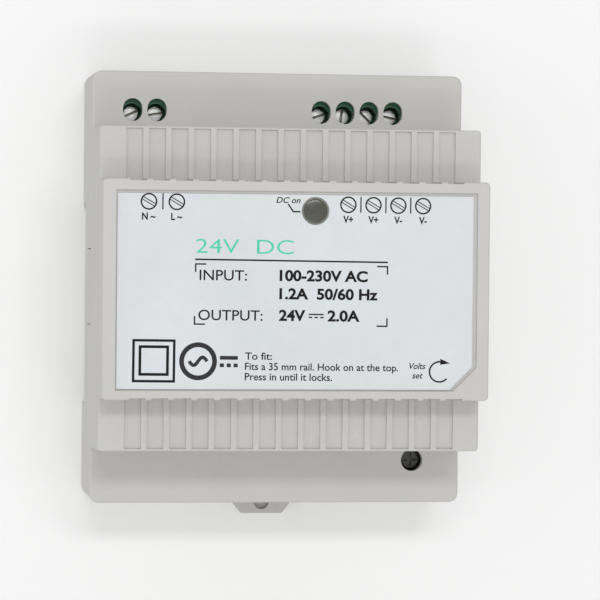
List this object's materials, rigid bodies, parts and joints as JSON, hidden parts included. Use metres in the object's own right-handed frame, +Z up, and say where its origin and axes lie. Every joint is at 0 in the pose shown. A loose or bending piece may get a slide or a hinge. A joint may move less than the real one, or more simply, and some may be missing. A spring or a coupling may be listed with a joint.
{
  "type": "din rail power supply",
  "caption": "Stepped grey DIN rail power supply: ribbed shoulders, labelled front plate, pilot window, slotted terminal screws behind round holes, trimmer and pull-down rail latch.",
  "frame": {"origin": "centre of the seat on the back of the base that rests against the front of the rail", "axes": "+Y out of the back, towards the rail; +Z up, from the latch to the terminals; +X to the right seen from the front"},
  "size_m": [0.078, 0.056, 0.0942],
  "materials": {
    "case": "fine moulded texture",
    "label": "satin film",
    "window": "polished, smoked",
    "light_pipe": "clear",
    "led": "clear green",
    "terminal_green": "moulded",
    "screw_steel": "zinc plated",
    "cage_steel": "nickel plated",
    "spring_steel": "drawn wire",
    "board": "solder mask",
    "insulation": "film",
    "trimmer_grey": "moulded",
    "blue_coating": "dipped",
    "white_moulding": "moulded",
    "black_moulding": "moulded",
    "fuse_brown": "moulded",
    "yellow_tape": "film",
    "ferrite": "sintered",
    "winding_copper": "enamelled wire",
    "capacitor_sleeve": "shrink sleeve",
    "heatsink_aluminium": "mill finish"
  },
  "bodies": {
    "housing": {"cover": "case", "base": "case", "rating_label": "label", "led_window": "window", "light_pipe": "light_pipe", "indicator_led": "led", "terminal_block_ac": "terminal_green", "terminal_block_dc": "terminal_green", "board_screw_1": "screw_steel", "board_screw_2": "screw_steel", "board_screw_3": "screw_steel", "board_screw_4": "screw_steel", "latch_spring": "spring_steel", "circuit_board": "board", "insulation_sheet": "insulation", "trimmer_body": "trimmer_grey", "varistor": "blue_coating", "y_capacitor": "blue_coating", "optocoupler": "white_moulding", "bridge_rectifier": "black_moulding", "switch_transistor": "black_moulding", "output_diode": "black_moulding", "control_chip": "black_moulding", "transformer_bobbin": "black_moulding", "ntc_thermistor": "black_moulding", "fuse": "fuse_brown", "x_capacitor": "yellow_tape", "transformer_winding": "yellow_tape", "choke_core": "ferrite", "transformer_core": "ferrite", "output_inductor": "ferrite", "choke_winding_1": "winding_copper", "choke_winding_2": "winding_copper", "bulk_capacitor": "capacitor_sleeve", "output_capacitor_1": "capacitor_sleeve", "output_capacitor_2": "capacitor_sleeve", "primary_heatsink": "heatsink_aluminium", "secondary_heatsink": "heatsink_aluminium"},
    "screw_1": {"terminal_screw_1": "screw_steel"},
    "screw_2": {"terminal_screw_2": "screw_steel"},
    "screw_3": {"terminal_screw_3": "screw_steel"},
    "screw_4": {"terminal_screw_4": "screw_steel"},
    "screw_5": {"terminal_screw_5": "screw_steel"},
    "screw_6": {"terminal_screw_6": "screw_steel"},
    "cage_1": {"clamp_cage_1": "cage_steel"},
    "cage_2": {"clamp_cage_2": "cage_steel"},
    "cage_3": {"clamp_cage_3": "cage_steel"},
    "cage_4": {"clamp_cage_4": "cage_steel"},
    "cage_5": {"clamp_cage_5": "cage_steel"},
    "cage_6": {"clamp_cage_6": "cage_steel"},
    "latch": {"din_latch": "case"},
    "trimmer_rotor": {"trimmer_rotor": "trimmer_grey"}
  },
  "joints": [
    {"name": "latch_pull", "type": "slide", "parent": "housing", "child": "latch", "axis": [0, 0, -1], "range_m": [0, 0.0045], "stiffness_N_per_m": 800, "springref_m": -0.0015, "deforming": ["latch_spring"]},
    {"name": "trimmer_turn", "type": "hinge", "parent": "housing", "child": "trimmer_rotor", "pos_m": [0.029, -0.0133, -0.0361], "axis": [0, 1, 0], "range_deg": [-130, 130]},
    {"name": "terminal_turn_1", "type": "hinge", "parent": "housing", "child": "screw_1", "pos_m": [-0.03064, -0.0115, 0.0363], "axis": [0, 1, 0], "range_deg": [0, 1080.01]},
    {"name": "terminal_turn_2", "type": "hinge", "parent": "housing", "child": "screw_2", "pos_m": [-0.02556, -0.0115, 0.0363], "axis": [0, 1, 0], "range_deg": [0, 1080.01]},
    {"name": "terminal_turn_3", "type": "hinge", "parent": "housing", "child": "screw_3", "pos_m": [0.00901, -0.0115, 0.0363], "axis": [0, 1, 0], "range_deg": [0, 1080.01]},
    {"name": "terminal_turn_4", "type": "hinge", "parent": "housing", "child": "screw_4", "pos_m": [0.01409, -0.0115, 0.0363], "axis": [0, 1, 0], "range_deg": [0, 1080.01]},
    {"name": "terminal_turn_5", "type": "hinge", "parent": "housing", "child": "screw_5", "pos_m": [0.01917, -0.0115, 0.0363], "axis": [0, 1, 0], "range_deg": [0, 1080.01]},
    {"name": "terminal_turn_6", "type": "hinge", "parent": "housing", "child": "screw_6", "pos_m": [0.02425, -0.0115, 0.0363], "axis": [0, 1, 0], "range_deg": [0, 1080.01]},
    {"name": "clamp_rise_1", "type": "slide", "parent": "housing", "child": "cage_1", "axis": [0, -1, 0], "range_m": [0, 0.0015]},
    {"name": "clamp_rise_2", "type": "slide", "parent": "housing", "child": "cage_2", "axis": [0, -1, 0], "range_m": [0, 0.0015]},
    {"name": "clamp_rise_3", "type": "slide", "parent": "housing", "child": "cage_3", "axis": [0, -1, 0], "range_m": [0, 0.0015]},
    {"name": "clamp_rise_4", "type": "slide", "parent": "housing", "child": "cage_4", "axis": [0, -1, 0], "range_m": [0, 0.0015]},
    {"name": "clamp_rise_5", "type": "slide", "parent": "housing", "child": "cage_5", "axis": [0, -1, 0], "range_m": [0, 0.0015]},
    {"name": "clamp_rise_6", "type": "slide", "parent": "housing", "child": "cage_6", "axis": [0, -1, 0], "range_m": [0, 0.0015]}
  ],
  "couplings": [
    {"joint": "terminal_turn_1", "follows": "clamp_rise_1", "rad_per_m": 12566},
    {"joint": "terminal_turn_2", "follows": "clamp_rise_2", "rad_per_m": 12566},
    {"joint": "terminal_turn_3", "follows": "clamp_rise_3", "rad_per_m": 12566},
    {"joint": "terminal_turn_4", "follows": "clamp_rise_4", "rad_per_m": 12566},
    {"joint": "terminal_turn_5", "follows": "clamp_rise_5", "rad_per_m": 12566},
    {"joint": "terminal_turn_6", "follows": "clamp_rise_6", "rad_per_m": 12566}
  ]
}
